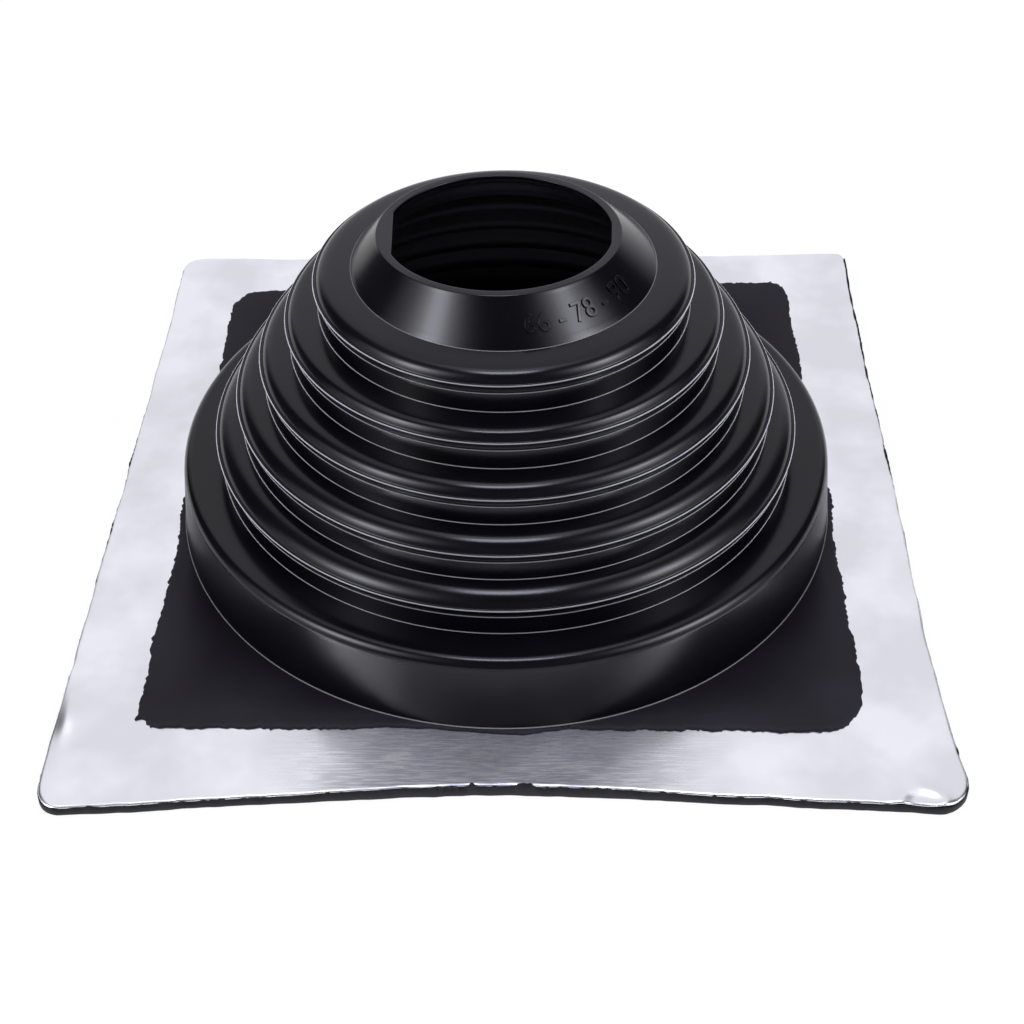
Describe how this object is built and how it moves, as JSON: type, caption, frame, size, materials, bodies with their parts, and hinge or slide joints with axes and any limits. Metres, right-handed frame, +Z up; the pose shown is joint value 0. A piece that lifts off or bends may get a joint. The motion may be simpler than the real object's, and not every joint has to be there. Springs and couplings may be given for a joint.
{
  "type": "pipe flashing boot",
  "caption": "Square-based roof pipe flashing: stepped conical rubber boot with a trimmed round mouth and a soft metal sheet moulded into its flat base.",
  "frame": {"origin": "on the cone's axis, at the underside of the rubber base", "axes": "+Z up along the cone's axis towards the mouth; X and Y along the sides of the square base"},
  "size_m": [0.256, 0.256, 0.102],
  "materials": {
    "epdm_rubber": "satin moulded",
    "soft_aluminium": "soft rolled"
  },
  "bodies": {
    "root": {"rubber_boot": "epdm_rubber", "aluminium_sheet": "soft_aluminium"}
  },
  "joints": []
}
